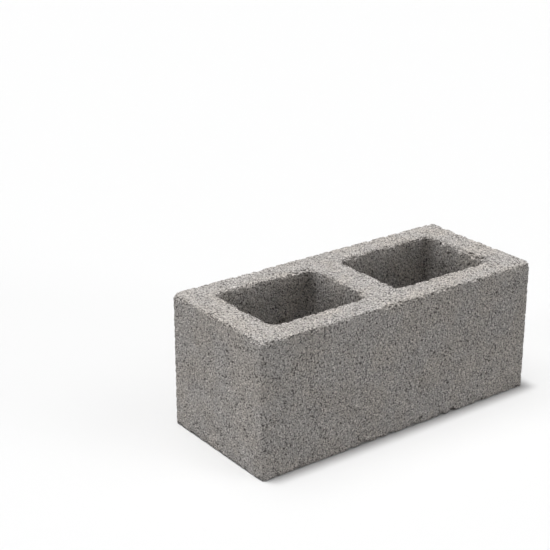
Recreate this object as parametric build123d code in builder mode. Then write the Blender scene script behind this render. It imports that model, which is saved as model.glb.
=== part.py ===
"""A concrete block with two cores, cast in one piece.

Millimetres, +Z up. The origin is the middle of the bottom bed, +X runs along the block's length,
and the cores go straight up through the block from bed to bed.
"""

import os

from build123d import *

# Overall size
block_length = 290.0
block_width = 127.0
block_height = 120.0

# Walls, measured at the top bed, where the cores are narrowest
face_shell = 24.0
end_web = 27.0
middle_web = 31.0
middle_web_offset = -4.0  # how far the middle web stands from the middle of the length

# Cores, which widen towards the bottom bed so that the block slips off the mould's core bars
core_corner_radius = 8.0
core_draft_degrees = 1.0

# Edges
upright_edge_radius = 3.0  # the four upright corners
bed_edge_radius = 1.2  # round the outside of both beds
core_mouth_radius = 1.0  # round the mouths of the cores

# Where each core starts and ends along the length, at the top bed
left_core_span = (-block_length / 2 + end_web, middle_web_offset - middle_web / 2)
right_core_span = (middle_web_offset + middle_web / 2, block_length / 2 - end_web)
core_width = block_width - 2 * face_shell

with BuildPart() as concrete_block:
    # The outside of the block
    with BuildSketch() as bed_outline:
        RectangleRounded(block_length, block_width, upright_edge_radius)
    extrude(amount=block_height)

    # The cores, drawn at the top bed and drafted down through the block
    with BuildSketch(Plane.XY.offset(block_height)) as core_mouths:
        for start, end in (left_core_span, right_core_span):
            with Locations(((start + end) / 2, 0)):
                RectangleRounded(end - start, core_width, core_corner_radius)
    extrude(amount=-block_height, taper=-core_draft_degrees, mode=Mode.SUBTRACT)

    # The worn edges of both beds
    beds = concrete_block.faces().filter_by(Plane.XY)
    fillet([edge for bed in beds for edge in bed.outer_wire().edges()], radius=bed_edge_radius)
    beds = concrete_block.faces().filter_by(Plane.XY)
    fillet(
        [edge for bed in beds for mouth in bed.inner_wires() for edge in mouth.edges()],
        radius=core_mouth_radius,
    )

concrete_block.part.label = "concrete_block"

os.makedirs("parts", exist_ok=True)
export_step(concrete_block.part, "parts/concrete_block.step")
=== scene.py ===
"""A hollow concrete block on a plain stage.

The block's shape and size come from the frame. This script cuts the relief of pressed concrete into
its faces, wears and chips its arrises, dresses it in a procedural concrete, and sets a floor, lights
and a camera round it.
"""

import functools
import math
import operator

import bmesh
import bpy
import numpy as np
from bpy.props import FloatProperty, FloatVectorProperty, IntProperty, PointerProperty
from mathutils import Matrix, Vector
from mathutils.bvhtree import BVHTree


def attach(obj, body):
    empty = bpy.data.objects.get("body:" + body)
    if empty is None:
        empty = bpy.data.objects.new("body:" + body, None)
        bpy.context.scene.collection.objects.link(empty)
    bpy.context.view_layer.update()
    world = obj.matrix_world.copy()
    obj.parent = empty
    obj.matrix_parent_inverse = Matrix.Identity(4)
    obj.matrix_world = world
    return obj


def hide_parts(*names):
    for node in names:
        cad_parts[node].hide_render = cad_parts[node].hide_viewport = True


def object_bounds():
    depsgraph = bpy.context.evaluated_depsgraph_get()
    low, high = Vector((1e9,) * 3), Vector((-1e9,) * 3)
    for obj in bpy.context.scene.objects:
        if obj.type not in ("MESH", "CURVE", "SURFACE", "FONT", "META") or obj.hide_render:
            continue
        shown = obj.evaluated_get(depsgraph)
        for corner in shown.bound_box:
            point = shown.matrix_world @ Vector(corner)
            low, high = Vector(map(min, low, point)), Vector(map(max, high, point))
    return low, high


bl_info = {
    "name": "Concrete block",
    "version": (1, 0, 0),
    "blender": (4, 5, 0),
    "location": "View3D > Sidebar > Concrete",
    "description": "Gives a pressed concrete block its rough faces, worn arrises and finish",
    "category": "Object",
}

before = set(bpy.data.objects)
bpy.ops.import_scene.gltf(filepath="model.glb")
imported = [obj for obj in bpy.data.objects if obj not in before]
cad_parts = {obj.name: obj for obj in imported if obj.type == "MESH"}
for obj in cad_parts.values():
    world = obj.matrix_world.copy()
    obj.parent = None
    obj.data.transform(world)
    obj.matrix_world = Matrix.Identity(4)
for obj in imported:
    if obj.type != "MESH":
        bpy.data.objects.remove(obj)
cad_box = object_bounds()

NODE = "concrete_block"
PIECE = "rough_concrete_block"
MM = 0.001

# The larger chips: their middles as shares of the block's length, width and height, and then their
# reach as a share of the chip radius
CORNER_CHIP_SHARES = ((0.0, 0.0, 1.02, 1.1), (0.0, 1.0, 1.0, 1.0), (1.0, 0.0, 1.0, 1.0))
BOTTOM_CHIP_SHARES = tuple((along, 0.0, 0.0, 1.0) for along in (0.36, 0.46, 0.55, 0.66, 0.70))
RIM_CHIP_SHARES = tuple((0.907, across, 1.0, 1.0) for across in (0.66, 0.49, 0.36, 0.27))
CHIP_FLOOR_SHARE = 0.4  # how much of a larger chip's reach is bitten in full
RAGGED_RIM_SHARE = 2.0  # how far its rim strays, as a share of the crumb size
UPRIGHT_CRUMB_SHARE = 0.35  # crumbs lost from the upright arrises, as a share of those at the beds

# How far an arris stands out of its rounded copy where wear starts and where it is full
WORN_BULGE = (0.12 * MM, 0.22 * MM)
BROKEN_BULGE = (0.15 * MM, 0.9 * MM)

# Where something starts and where it is full: levels of a noise, of the distance from a grain's
# middle, or of a grain's own number
CRUMB_LEVELS = (0.48, 0.56)
CHIP_LEVELS = (0.64, 0.74)
PIT_LEVELS = (0.815, 0.915)
JOINT_LEVELS = (0.12, 0.85)
SPECK_LEVELS = (0.25, 0.45)
SAND_PORE_LEVELS = (0.62, 0.74)
DUST_PORE_LEVELS = (0.74, 0.86)
TINT_LEVELS = (0.35, 0.65)
LIGHT_SAND_LEVELS = (0.88, 0.90)
LIGHT_STONE_LEVELS = (0.04, 0.06)

# The fine relief and the pores between fine grains, as shares of those of the sand
DUST_HEIGHT_SHARE = 0.5
DUST_PORE_SHARE = 0.8
PORE_DEPTH_SHARE = 0.8
SPECKLE_HEIGHT_SHARE = 0.3
SPECKLE_SIZE_SHARE = 0.3  # of the fine grains' size

# The UV sheet
BAKE_MAP = "OFBake"
PANEL_GAP = 6 * MM
SHEET_GAPS = 8  # how many gaps the sheet is wider than two block lengths
NEAR_OUTSIDE = 12 * MM  # a face nearer than this to the side that it looks towards is on the outside

MERGE_DISTANCE = 0.001 * MM
SENSOR_WIDTH = 36.0
WHITE = (1.0, 1.0, 1.0)

# Where the lights stand: azimuth from the right side towards the back, elevation and spread, in degrees
LIGHT_ANGLES = {
    "key": (135.0, 85.0, 7.0),
    "overhead": (135.0, 81.5, 50.0),
    "left_fill": (170.0, 6.0, 20.0),
    "right_fill": (300.0, 6.0, 20.0),
    "front_fill": (310.0, 45.0, 40.0),
}


# Settings


def length(name, description, default):
    """A property for a length in metres."""
    return FloatProperty(
        name=name, description=description, default=default, subtype="DISTANCE", precision=5
    )


def colour(name, description, default):
    """A property for a colour."""
    return FloatVectorProperty(
        name=name, description=description, default=default, subtype="COLOR", size=3
    )


def angle(name, description, default):
    """A property for an angle, with its default in degrees."""
    return FloatProperty(
        name=name, description=description, default=math.radians(default), subtype="ANGLE"
    )


def factor(name, description, default):
    """A property for a plain number."""
    return FloatProperty(name=name, description=description, default=default)


def count(name, description, default):
    """A property for a whole number."""
    return IntProperty(name=name, description=description, default=default)


class ConcreteRelief(bpy.types.PropertyGroup):
    """The relief of the cast faces and the wear of the arrises."""

    mesh_step: length("Mesh step", "Edge length of the mesh that the relief is cut into", 0.7 * MM)
    most_triangles: count("Triangles", "Most triangles in the block", 196000)
    grain_size: length("Grain size", "Size of the grains that stand out of the faces", 2.0 * MM)
    grain_height: length("Grain height", "How far the grains stand out", 0.25 * MM)
    wave_size: length("Wave size", "Size of the gentle waves in the faces", 16 * MM)
    wave_height: length("Wave height", "Height of the gentle waves", 0.3 * MM)
    pit_size: length("Pit size", "Spacing of the open pits between grains", 2.2 * MM)
    pit_depth: length("Pit depth", "Depth of the open pits", 0.6 * MM)
    crumb_size: length("Crumb size", "Size of the crumbs lost from the arrises", 5.5 * MM)
    crumb_depth: length("Crumb depth", "How deep the lost crumbs bite into the arrises", 1.2 * MM)
    arris_width: length("Arris width", "Width of the strip along an arris that loses crumbs", 2.2 * MM)
    chip_size: length("Chip size", "Spacing of the chips along the arrises", 17 * MM)
    chip_radius: length("Chip radius", "How far the chips reach from the arrises", 5.0 * MM)
    notch_depth: length("Notch depth", "How much deeper the largest chips bite", 1.5 * MM)
    crease_angle: angle("Crease angle", "Edges sharper than this aren't shaded smooth", 40)
    seed: count("Seed", "Changes where grains, pits and chips fall", 5)


class ConcreteFinish(bpy.types.PropertyGroup):
    """The colours and the fine grain of the concrete, and the painted shade in its pores and pits."""

    paste: colour("Cement paste", "Main colour of the concrete", (0.640, 0.603, 0.577))
    sand: colour("Light sand", "Colour of the light grains and stones", (0.74, 0.71, 0.67))
    # Painted shade: the dark that falls into the pores and pits, laid into the colour
    pore_shade: colour("Pores", "Colour of the pores and the pits", (0.08, 0.074, 0.068))
    warm: colour("Warm stain", "Tint of the warmer areas", (1.01, 1.0, 0.975))
    cool: colour("Cool stain", "Tint of the cooler areas", (0.99, 1.0, 1.005))
    stain_size: length("Stain size", "Size of the warm and cool areas", 30 * MM)
    tone_size: length("Tone size", "Size of the light and dark areas", 75 * MM)
    sand_size: length("Sand size", "Size of the sand grains", 1.2 * MM)
    dust_size: length("Dust size", "Size of the fine grains between the sand", 0.78 * MM)
    stone_spacing: length("Stone spacing", "Spacing of the light stones in the faces", 36 * MM)
    sand_height: length("Sand height", "How far the sand grains stand out", 0.2 * MM)
    lump_size: length("Lump size", "Size of the lumps that the sand is packed in", 2.6 * MM)
    lump_height: length("Lump height", "How far the lumps stand out", 1.0 * MM)
    darkest_tone: factor("Darkest tone", "Tone of the darkest grains", 0.72)
    sand_contrast: factor("Sand contrast", "How much the sand grains differ in tone", 0.14)
    dust_contrast: factor("Dust contrast", "How much the fine grains differ in tone", 0.7)
    tone_contrast: factor("Tone contrast", "How much the light and dark areas differ", 0.2)
    light_strength: factor("Light grains", "How much of their colour the light grains show", 0.6)
    # How strongly the painted shade darkens the pores and pits
    pore_shade_strength: factor("Pore darkness", "How much of their colour the pores show", 0.9)
    roughness: factor("Roughness", "Roughness of the smoothest grains", 0.88)
    roughness_spread: factor("Roughness spread", "How much rougher the roughest grains are", 0.1)


class ConcreteStage(bpy.types.PropertyGroup):
    """The floor, the light and the camera."""

    floor_size: length("Floor size", "Length of each side of the floor", 16.0)
    floor_colour: colour("Floor", "Colour of the floor as the camera sees it", (0.855, 0.855, 0.855))
    floor_bounce: colour("Bounce", "Colour of the floor as the block sees it", (0.285, 0.285, 0.285))
    ambient: factor("Ambient", "Strength of the light from all round", 0.12)
    key: factor("Key light", "Strength of the narrow light from above", 1.97)
    overhead: factor("Overhead light", "Strength of the wide light from above", 0.90)
    left_fill: factor("Left fill", "Strength of the low light from the left", 0.97)
    right_fill: factor("Right fill", "Strength of the low light from the front and the right", 0.69)
    front_fill: factor("Front fill", "Strength of the high light from the front and the right", 0.34)
    azimuth: angle("Azimuth", "Bearing of the camera from the front of the block", -36.52)
    elevation: angle("Elevation", "Height of the camera as an angle", 21.74)
    distance: length("Distance", "From the camera to the point that it looks at", 1209.6 * MM)
    aim: FloatVectorProperty(
        name="Aim",
        description="The point that the camera looks at",
        default=(-42.8 * MM, 58.1 * MM, 113.3 * MM),
        subtype="TRANSLATION",
        unit="LENGTH",
    )
    lens: FloatProperty(
        name="Lens", description="Focal length in millimetres", default=91.64, unit="CAMERA"
    )


# Node trees


class Wire:
    """An output socket. Sums of wires add Math nodes to their tree."""

    def __init__(self, graph, socket):
        self.graph = graph
        self.socket = socket

    def math(self, operation, first, second):
        return self.graph.node("ShaderNodeMath", {"operation": operation}, {0: first, 1: second})

    def __add__(self, other):
        return self.math("ADD", self, other)

    def __radd__(self, other):
        return self.math("ADD", other, self)

    def __sub__(self, other):
        return self.math("SUBTRACT", self, other)

    def __rsub__(self, other):
        return self.math("SUBTRACT", other, self)

    def __mul__(self, other):
        return self.math("MULTIPLY", self, other)

    def __rmul__(self, other):
        return self.math("MULTIPLY", other, self)

    def __truediv__(self, other):
        return self.math("DIVIDE", self, other)

    def __rtruediv__(self, other):
        return self.math("DIVIDE", other, self)

    def __or__(self, other):
        return self.math("MAXIMUM", self, other)


class Graph:
    """Adds nodes to one node tree."""

    def __init__(self, tree):
        self.tree = tree

    @staticmethod
    def socket(sockets, key):
        """The socket with that identifier, name or number."""
        for socket in sockets:
            if socket.identifier == key:
                return socket
        return sockets[key]

    def node(self, kind, settings=None, sockets=None, output=0):
        """Adds a node, sets it up, then gives its sockets their values or links. Returns one output."""
        node = self.tree.nodes.new(kind)
        for name, value in (settings or {}).items():
            setattr(node, name, value)
        for key, value in (sockets or {}).items():
            socket = self.socket(node.inputs, key)
            if isinstance(value, Wire):
                self.tree.links.new(value.socket, socket)
            else:
                socket.default_value = value
        return Wire(self, self.socket(node.outputs, output)) if node.outputs else None

    def vector(self, operation, first, second, output="Vector"):
        """Vector Math of two vectors."""
        settings = {"operation": operation}
        return self.node("ShaderNodeVectorMath", settings, {0: first, 1: second}, output)

    def scaled(self, vector, amount):
        """A vector or a colour times a number."""
        settings = {"operation": "SCALE"}
        return self.node("ShaderNodeVectorMath", settings, {"Vector": vector, "Scale": amount})

    def noise(self, place, size, detail=2.0):
        """Smooth noise from 0 to 1, with lumps of about that size."""
        sockets = {"Vector": place, "Scale": 1 / size, "Detail": detail}
        return self.node("ShaderNodeTexNoise", {}, sockets)

    def noises(self, place, scale):
        """Three smooth noises from 0 to 1, as a colour."""
        return self.node("ShaderNodeTexNoise", {}, {"Vector": place, "Scale": scale}, "Color")

    def step(self, value, low, high):
        """0 below low, 1 above high, and smooth between them."""
        settings = {"interpolation_type": "SMOOTHSTEP"}
        sockets = {"Value": value, "From Min": low, "From Max": high}
        return self.node("ShaderNodeMapRange", settings, sockets)

    def grains(self, place, size):
        """Packed grains of about that size.

        Returns how far the nearest grain's middle is, and a number from 0 to 1 for each grain.
        """
        unevenness_share = 0.8
        stray = self.scaled(self.noises(place, 2 / size), unevenness_share * size)
        uneven = self.vector("ADD", place, stray)
        distance = self.node("ShaderNodeTexVoronoi", {}, {"Vector": uneven, "Scale": 1 / size})
        colours = Wire(self, distance.socket.node.outputs["Color"])
        return distance, self.node("ShaderNodeSeparateXYZ", {}, {"Vector": colours})

    def joints(self, distance):
        """0 at a grain's middle and 1 in the joints between grains."""
        return self.step(distance, *JOINT_LEVELS)

    def specks(self, distance, chosen):
        """1 in the middles of the chosen grains."""
        return chosen * (1 - self.step(distance, *SPECK_LEVELS))

    def pits(self, place, size):
        """How deep the pits are: 0 on the sound face and 1 at the bottom of a pit."""
        patch_size = 6 * size
        patch_share = 0.4
        pitting = self.noise(place, size, 1.0) + patch_share * self.noise(place, patch_size, 1.0)
        return self.step(pitting, *PIT_LEVELS)

    def blend(self, amount, first, second, how="MIX"):
        """Mixes two colours."""
        settings = {"data_type": "RGBA", "blend_type": how}
        sockets = {"Factor_Float": amount, "A_Color": first, "B_Color": second}
        return self.node("ShaderNodeMix", settings, sockets, "Result_Color")

    def between(self, amount, first, second):
        """Mixes two places."""
        sockets = {"Factor_Float": amount, "A_Vector": first, "B_Vector": second}
        return self.node("ShaderNodeMix", {"data_type": "VECTOR"}, sockets, "Result_Vector")

    def either(self, amount, first, second):
        """Mixes two shaders."""
        sockets = {"Fac": amount, "Shader": first, "Shader_001": second}
        return self.node("ShaderNodeMixShader", {}, sockets)


def opaque(rgb):
    """A colour with its alpha."""
    return (*rgb, 1.0)


def material_graph(owner):
    """An emptied shader tree of a material or a world."""
    owner.use_nodes = True
    owner.node_tree.nodes.clear()
    return Graph(owner.node_tree)


# The relief

ARRIS = "arris"
FACES = "faces"
RELIEF_LENGTHS = (
    "grain_size", "grain_height", "wave_size", "wave_height", "pit_size", "pit_depth",
    "crumb_size", "crumb_depth", "chip_size", "chip_radius", "notch_depth",
)


def socket_name(setting):
    """The name of a setting's socket."""
    return setting.replace("_", " ").capitalize()


def chip_middle(shares):
    """The place at those shares of the block's length, width and height."""
    return Vector(a + share * (b - a) for a, b, share in zip(*cad_box, shares))


def relief_tree():
    """Geometry nodes that cut grains, pits, waves, wear and chips into a finely meshed block."""
    tree = bpy.data.node_groups.new("Concrete relief", "GeometryNodeTree")
    tree.interface.new_socket("Block", in_out="INPUT", socket_type="NodeSocketGeometry")
    for setting in RELIEF_LENGTHS:
        tree.interface.new_socket(socket_name(setting), in_out="INPUT", socket_type="NodeSocketFloat")
    for name in ("Seed", "Arris passes", "Chip passes"):
        tree.interface.new_socket(name, in_out="INPUT", socket_type="NodeSocketInt")
    tree.interface.new_socket("Material", in_out="INPUT", socket_type="NodeSocketMaterial")
    tree.interface.new_socket("Block", in_out="OUTPUT", socket_type="NodeSocketGeometry")

    graph = Graph(tree)
    inputs = tree.nodes.new("NodeGroupInput").outputs
    given = {socket.name: Wire(graph, socket) for socket in inputs if socket.name}
    position = graph.node("GeometryNodeInputPosition")
    normal = graph.node("GeometryNodeInputNormal")
    place = graph.vector("ADD", position, given["Seed"])

    # The arrises: where the block stands out of a copy that is rounded a little, and of one rounded a lot
    def rounded(passes):
        sockets = {"Value": position, "Iterations": passes}
        return graph.node("GeometryNodeBlurAttribute", {"data_type": "FLOAT_VECTOR"}, sockets)

    def arris(round_block, low, high):
        """0 on the faces and in the hollows, 1 on the arrises."""
        outwards = graph.vector("SUBTRACT", position, round_block)
        bulge = graph.vector("DOT_PRODUCT", outwards, normal, "Value")
        return graph.step(bulge, low, high)

    broken = rounded(given["Chip passes"])
    sharp_arris = arris(rounded(given["Arris passes"]), *WORN_BULGE)
    broken_arris = arris(broken, *BROKEN_BULGE)

    # Crumbs, which the arrises round the beds lose more of than the upright ones
    height = graph.node("ShaderNodeSeparateXYZ", {}, {"Vector": position}, "Z")
    low, high = (corner[2] for corner in cad_box)
    at_top = graph.step(height, high - given["Chip radius"], high)
    at_bottom = 1 - graph.step(height, low, low + given["Chip radius"])
    crumbs = graph.step(graph.noise(place, given["Crumb size"], 3.0), *CRUMB_LEVELS)
    crumbs = crumbs * (UPRIGHT_CRUMB_SHARE + (1 - UPRIGHT_CRUMB_SHARE) * (at_top | at_bottom))

    # Chips at random and at the corners, and deeper notches in the bottom arris and in a core's rim
    jitter = graph.vector("SUBTRACT", graph.noises(place, 1 / given["Crumb size"]), (0.5, 0.5, 0.5))
    stray = graph.scaled(jitter, RAGGED_RIM_SHARE * given["Crumb size"])
    ragged = graph.vector("ADD", position, stray)

    def bitten(*middle_shares, reach_share):
        """1 in the middle of a larger chip and 0 outside it, with a ragged rim."""
        away = graph.vector("DISTANCE", ragged, chip_middle(middle_shares), "Value")
        reach = reach_share * given["Chip radius"]
        return 1 - graph.step(away, CHIP_FLOOR_SHARE * reach, reach)

    def all_bitten(chip_shares):
        """All larger chips of a table in one."""
        bites = [bitten(*middle, reach_share=reach) for *middle, reach in chip_shares]
        return functools.reduce(operator.or_, bites)

    chips = graph.step(graph.noise(place, given["Chip size"]), *CHIP_LEVELS)
    chips = chips | all_bitten(CORNER_CHIP_SHARES)
    notches = all_bitten(BOTTOM_CHIP_SHARES + RIM_CHIP_SHARES)
    lost = (chips | notches) * broken_arris
    eroded = graph.between(lost, position, broken)

    # How far the faces lie below the cast surface
    depth = given["Wave height"] * graph.noise(place, given["Wave size"])
    grain_distance, _ = graph.grains(place, given["Grain size"])
    depth = depth + given["Grain height"] * graph.joints(grain_distance)
    depth = depth + given["Pit depth"] * graph.pits(place, given["Pit size"])
    depth = depth + given["Crumb depth"] * crumbs * sharp_arris
    depth = depth + given["Notch depth"] * notches * broken_arris
    offset = graph.scaled(normal, 0 - depth)
    moved = graph.node(
        "GeometryNodeSetPosition", {},
        {"Geometry": given["Block"], "Position": eroded, "Offset": offset},
    )
    marked = graph.node(
        "GeometryNodeStoreNamedAttribute", {"data_type": "FLOAT", "domain": "POINT"},
        {"Geometry": moved, "Name": ARRIS, "Value": sharp_arris | lost},
    )
    whole = graph.node("GeometryNodeRealizeInstances", {}, {"Geometry": marked})
    dressed = graph.node(
        "GeometryNodeSetMaterial", {}, {"Geometry": whole, "Material": given["Material"]}
    )
    graph.node("NodeGroupOutput", {}, {"Block": dressed})
    return tree


# The finish


def concrete(finish, relief):
    """Pressed concrete: sand grains of many tones in cement paste, with pores and pits that are bumped in
    and painted dark with their shade, and faint stains.
    """
    material = bpy.data.materials.new("Pressed concrete")
    graph = material_graph(material)
    object_place = graph.node("ShaderNodeTexCoord", output="Object")
    place = graph.vector("ADD", object_place, (relief.seed, relief.seed, relief.seed))

    # Grains of two sizes, the pores in the corners between them, and the larger pits
    sand, sand_tone = graph.grains(place, finish.sand_size)
    dust, dust_tone = graph.grains(place, finish.dust_size)
    sand_pores = graph.step(sand, *SAND_PORE_LEVELS)
    dust_pores = DUST_PORE_SHARE * graph.step(dust, *DUST_PORE_LEVELS)
    # Where the pores and pits are: the bump sinks them, and the colour darkens them with painted shade
    hole_depth_and_shade = sand_pores | dust_pores | graph.pits(place, relief.pit_size)

    # Tones and tints of the paste
    tone = finish.darkest_tone + finish.sand_contrast * sand_tone
    tone = tone + finish.dust_contrast * dust_tone * dust_tone
    areas = graph.noise(place, finish.tone_size, 3.0)
    tone = tone * (1 - finish.tone_contrast / 2 + finish.tone_contrast * areas)
    tint_amount = graph.step(graph.noise(place, finish.stain_size), *TINT_LEVELS)
    tint = graph.blend(tint_amount, opaque(finish.cool), opaque(finish.warm))
    paste = graph.blend(1.0, opaque(finish.paste), tint, "MULTIPLY")

    # Light grains, a few light stones, and painted shade in the pores and pits
    stones, _ = graph.grains(place, finish.stone_spacing)
    light_sand = graph.specks(sand, graph.step(sand_tone, *LIGHT_SAND_LEVELS))
    light = light_sand | (1 - graph.step(stones, *LIGHT_STONE_LEVELS))
    base = graph.blend(finish.light_strength * light, graph.scaled(paste, tone), opaque(finish.sand))
    # Painted shade: the pores and pits are darkened towards the pore colour, standing in for the shadow
    # inside them
    base = graph.blend(finish.pore_shade_strength * hole_depth_and_shade, base, opaque(finish.pore_shade))

    # Fine relief
    humps = (1 - graph.joints(sand)) + DUST_HEIGHT_SHARE * (1 - graph.joints(dust))
    humps = humps - PORE_DEPTH_SHARE * hole_depth_and_shade
    speckle = graph.noise(place, SPECKLE_SIZE_SHARE * finish.dust_size)
    lumps, _ = graph.grains(place, finish.lump_size)
    height = finish.sand_height * (humps + SPECKLE_HEIGHT_SHARE * speckle)
    height = height + finish.lump_height * (1 - graph.joints(lumps))
    bumps = graph.node("ShaderNodeBump", {}, {"Strength": 1.0, "Distance": 1.0, "Height": height})

    surface = graph.node(
        "ShaderNodeBsdfPrincipled", {},
        {
            "Base Color": base,
            "Roughness": finish.roughness + finish.roughness_spread * sand_tone,
            "Specular IOR Level": 0.25,
            "Diffuse Roughness": 0.5,
            "Normal": bumps,
        },
    )
    graph.node("ShaderNodeOutputMaterial", {}, {"Surface": surface})
    return material


# The block


def plain_mesh(block, context):
    """The block's mesh with its modifiers applied, in place of the old one."""
    depsgraph = context.evaluated_depsgraph_get()
    mesh = bpy.data.meshes.new_from_object(block.evaluated_get(depsgraph), depsgraph=depsgraph)
    block.modifiers.clear()
    block.data = mesh
    return mesh


def cast_mesh():
    """A copy of the CAD block's mesh, with its loose triangles joined."""
    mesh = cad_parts[NODE].data.copy()
    mesh.name = PIECE
    mesh.materials.clear()
    joined = bmesh.new()
    joined.from_mesh(mesh)
    bmesh.ops.remove_doubles(joined, verts=joined.verts, dist=MERGE_DISTANCE)
    joined.to_mesh(mesh)
    joined.free()
    return mesh


def blur_passes(radius, mesh_step):
    """How many times neighbours are averaged to blur a square mesh over that radius."""
    spread_per_pass = 0.4  # the variance that one pass adds along each axis, in squared mesh steps
    return round((radius / mesh_step) ** 2 / spread_per_pass)


def cut_relief(block, relief, material, context):
    """Meshes the block finely, then cuts its relief."""
    remesh = block.modifiers.new("Fine mesh", "REMESH")
    remesh.mode = "VOXEL"
    remesh.voxel_size = relief.mesh_step

    tree = relief_tree()
    settings = {socket_name(setting): getattr(relief, setting) for setting in RELIEF_LENGTHS}
    settings["Seed"] = relief.seed
    settings["Arris passes"] = blur_passes(relief.arris_width, relief.mesh_step)
    settings["Chip passes"] = blur_passes(relief.chip_radius, relief.mesh_step)
    settings["Material"] = material
    modifier = block.modifiers.new("Relief", "NODES")
    modifier.node_group = tree
    for item in tree.interface.items_tree:
        if item.in_out == "INPUT" and item.name in settings:
            modifier[item.identifier] = settings[item.name]
    return plain_mesh(block, context)


def thin_out(block, relief, context):
    """Merges triangles where the relief is flattest, and spares the arrises."""
    fine = block.data
    marks = np.empty(len(fine.vertices), dtype=np.float32)
    fine.attributes[ARRIS].data.foreach_get("value", marks)
    block.vertex_groups.new(name=FACES).add(np.flatnonzero(marks <= 0.5).tolist(), 1.0, "REPLACE")
    triangles = sum(len(face.vertices) - 2 for face in fine.polygons)
    decimate = block.modifiers.new("Fewer triangles", "DECIMATE")
    decimate.ratio = min(1.0, relief.most_triangles / triangles)
    decimate.vertex_group = FACES
    decimate.use_collapse_triangulate = True
    mesh = plain_mesh(block, context)
    block.vertex_groups.clear()
    mesh.attributes.remove(mesh.attributes[ARRIS])
    return mesh


def panel_axes(middles, cad):
    """For each face, the direction of its panel: the axis nearest to the CAD surface's normal there."""
    normals = np.array([cad.find_nearest(Vector(middle))[1] for middle in middles])
    largest = np.abs(normals).argmax(axis=1)
    axes = np.zeros_like(normals)
    rows = np.arange(len(normals))
    axes[rows, largest] = np.sign(normals[rows, largest])
    return axes


def unfold(mesh, cad):
    """Lays the block out flat as a UV map: one panel for each side and for each wall of the cores."""
    face_count = len(mesh.polygons)
    middles = np.empty(3 * face_count)
    mesh.polygons.foreach_get("center", middles)
    middles = middles.reshape(-1, 3)
    corners = np.empty(3 * face_count, dtype=np.int32)
    mesh.loops.foreach_get("vertex_index", corners)
    points = np.empty(3 * len(mesh.vertices))
    mesh.vertices.foreach_get("co", points)
    points = points.reshape(-1, 3)[corners].reshape(-1, 3, 3)

    # The panels: number 0 for the outside, 1 for the left core's walls and 2 for the right core's
    axes = panel_axes(middles, cad)
    low, high = (np.array(corner) for corner in cad_box)
    reach = np.where(axes > 0, high - middles, middles - low)
    outside = (np.abs(axes) * reach).sum(axis=1) < NEAR_OUTSIDE
    core = np.where(outside, 0, np.where(middles[:, 0] < 0, 1, 2))
    keys = np.column_stack([axes, core]).astype(int)
    panels, panel_of = np.unique(keys, axis=0, return_inverse=True)
    panel_of = panel_of.ravel()

    flat = np.empty((face_count, 3, 2))
    sizes = []
    for number, (x, y, z, _) in enumerate(panels):
        facing = np.array([x, y, z], dtype=float)
        across = np.array([1.0, 0, 0]) if z else np.cross([0, 0, 1.0], facing)
        up = np.cross(facing, across)
        chosen = panel_of == number
        flat[chosen] = points[chosen] @ np.column_stack([across, up])
        flat[chosen] -= flat[chosen].min(axis=(0, 1))
        sizes.append(flat[chosen].max(axis=(0, 1)))

    # Rows of panels, the widest first
    sheet = 2 * (high - low)[0] + SHEET_GAPS * PANEL_GAP
    left = PANEL_GAP
    bottom = PANEL_GAP
    row_height = 0.0
    for number in sorted(range(len(panels)), key=lambda n: -sizes[n][0]):
        wide, tall = sizes[number]
        if left + wide + PANEL_GAP > sheet:
            left = PANEL_GAP
            bottom += row_height + PANEL_GAP
            row_height = 0.0
        flat[panel_of == number] += (left, bottom)
        left += wide + PANEL_GAP
        row_height = max(row_height, tall)
    if bottom + row_height + PANEL_GAP > sheet:
        raise RuntimeError("The block's panels don't fit on the UV sheet")
    layer = mesh.uv_layers.new(name=BAKE_MAP)
    layer.uv.foreach_set("vector", (flat / sheet).ravel().astype(np.float32))


class CONCRETE_OT_cast_block(bpy.types.Operator):
    """Make the concrete block with its rough faces and worn arrises"""

    bl_idname = "concrete.cast_block"
    bl_label = "Cast block"

    def execute(self, context):
        relief = context.scene.concrete_relief
        block = bpy.data.objects.new(PIECE, cast_mesh())
        context.scene.collection.objects.link(block)
        cad_mesh = bmesh.new()
        cad_mesh.from_mesh(block.data)
        cad = BVHTree.FromBMesh(cad_mesh)
        cad_mesh.free()

        cut_relief(block, relief, concrete(context.scene.concrete_finish, relief), context)
        mesh = thin_out(block, relief, context)
        mesh.name = PIECE
        mesh.shade_smooth()
        mesh.set_sharp_from_angle(angle=relief.crease_angle)
        unfold(mesh, cad)

        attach(block, "root")
        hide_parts(NODE)
        return {"FINISHED"}


# The stage


def direction(azimuth, elevation):
    """A unit vector with that bearing from +X towards +Y and that height."""
    flat = math.cos(elevation)
    return Vector((flat * math.cos(azimuth), flat * math.sin(azimuth), math.sin(elevation)))


def add_sun(context, name, strength, azimuth, elevation, spread):
    """A soft light from a long way off."""
    light = bpy.data.lights.new(name, "SUN")
    light.energy = strength
    light.angle = spread
    sun = bpy.data.objects.new(name, light)
    sun.rotation_euler = direction(azimuth, elevation).to_track_quat("Z", "Y").to_euler()
    context.scene.collection.objects.link(sun)


def seen(graph):
    """1 where the camera sees a surface or the world, straight, mirrored or through glass."""
    rays = ("Is Camera Ray", "Is Glossy Ray", "Is Transmission Ray")
    camera, glossy, transmission = (graph.node("ShaderNodeLightPath", output=ray) for ray in rays)
    return camera + glossy + transmission


def floor_material(stage):
    """A white floor that keeps the block's shadow and sends back the light of a grey one."""
    material = bpy.data.materials.new("Pale floor")
    graph = material_graph(material)
    shown = graph.node("ShaderNodeBsdfDiffuse", {}, {"Color": opaque(stage.floor_colour)})
    bounce = graph.node("ShaderNodeBsdfDiffuse", {}, {"Color": opaque(stage.floor_bounce)})
    both = graph.either(seen(graph), bounce, shown)
    graph.node("ShaderNodeOutputMaterial", {}, {"Surface": both})
    return material


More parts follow.
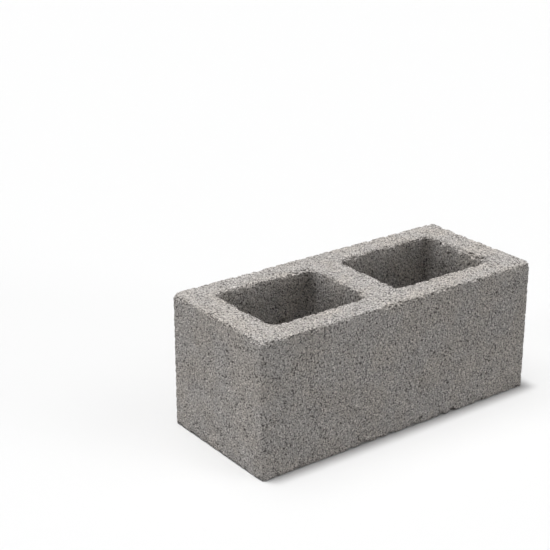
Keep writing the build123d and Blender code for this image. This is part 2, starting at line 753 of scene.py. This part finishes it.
def add_floor(context, stage):
    """A level floor under the block."""
    mesh = bpy.data.meshes.new("floor")
    sheet = bmesh.new()
    bmesh.ops.create_grid(sheet, x_segments=1, y_segments=1, size=stage.floor_size / 2)
    sheet.to_mesh(mesh)
    sheet.free()
    mesh.materials.append(floor_material(stage))
    floor = bpy.data.objects.new("floor", mesh)
    context.scene.collection.objects.link(floor)


def add_world(context, stage):
    """Even light from all round, in front of a white background."""
    world = bpy.data.worlds.new("Studio")
    graph = material_graph(world)
    ambient, white = (
        graph.node("ShaderNodeBackground", {}, {"Color": opaque(WHITE), "Strength": strength})
        for strength in (stage.ambient, 1.0)
    )
    both = graph.either(seen(graph), ambient, white)
    graph.node("ShaderNodeOutputWorld", {}, {"Surface": both})
    context.scene.world = world


def add_camera(context, stage):
    """The camera at the photograph's place."""
    lens = bpy.data.cameras.new("camera")
    lens.sensor_width = SENSOR_WIDTH
    lens.lens = stage.lens
    camera = bpy.data.objects.new("camera", lens)
    back = direction(stage.azimuth - math.pi / 2, stage.elevation)
    camera.location = Vector(stage.aim) + stage.distance * back
    camera.rotation_euler = back.to_track_quat("Z", "Y").to_euler()
    context.scene.collection.objects.link(camera)
    context.scene.camera = camera


class CONCRETE_OT_set_stage(bpy.types.Operator):
    """Set a pale floor, soft light and a camera round the block"""

    bl_idname = "concrete.set_stage"
    bl_label = "Set stage"

    def execute(self, context):
        stage = context.scene.concrete_stage
        add_floor(context, stage)
        add_world(context, stage)
        for name, degrees in LIGHT_ANGLES.items():
            add_sun(context, name, getattr(stage, name), *map(math.radians, degrees))
        add_camera(context, stage)
        context.scene.view_settings.view_transform = "Standard"
        return {"FINISHED"}


class CONCRETE_PT_sidebar(bpy.types.Panel):
    """The block's settings and operators"""

    bl_label = "Concrete block"
    bl_space_type = "VIEW_3D"
    bl_region_type = "UI"
    bl_category = "Concrete"

    def draw(self, context):
        for group in GROUPS:
            box = self.layout.box()
            settings = getattr(context.scene, group)
            for setting in settings.__annotations__:
                box.prop(settings, setting)
        self.layout.operator(CONCRETE_OT_cast_block.bl_idname)
        self.layout.operator(CONCRETE_OT_set_stage.bl_idname)


GROUPS = {
    "concrete_relief": ConcreteRelief,
    "concrete_finish": ConcreteFinish,
    "concrete_stage": ConcreteStage,
}
CLASSES = (*GROUPS.values(), CONCRETE_OT_cast_block, CONCRETE_OT_set_stage, CONCRETE_PT_sidebar)


def register():
    for each in CLASSES:
        bpy.utils.register_class(each)
    for name, group in GROUPS.items():
        setattr(bpy.types.Scene, name, PointerProperty(type=group))


def unregister():
    for name in GROUPS:
        delattr(bpy.types.Scene, name)
    for each in reversed(CLASSES):
        bpy.utils.unregister_class(each)


def main():
    register()
    bpy.ops.concrete.cast_block()
    bpy.ops.concrete.set_stage()


if __name__ == "__main__":
    main()
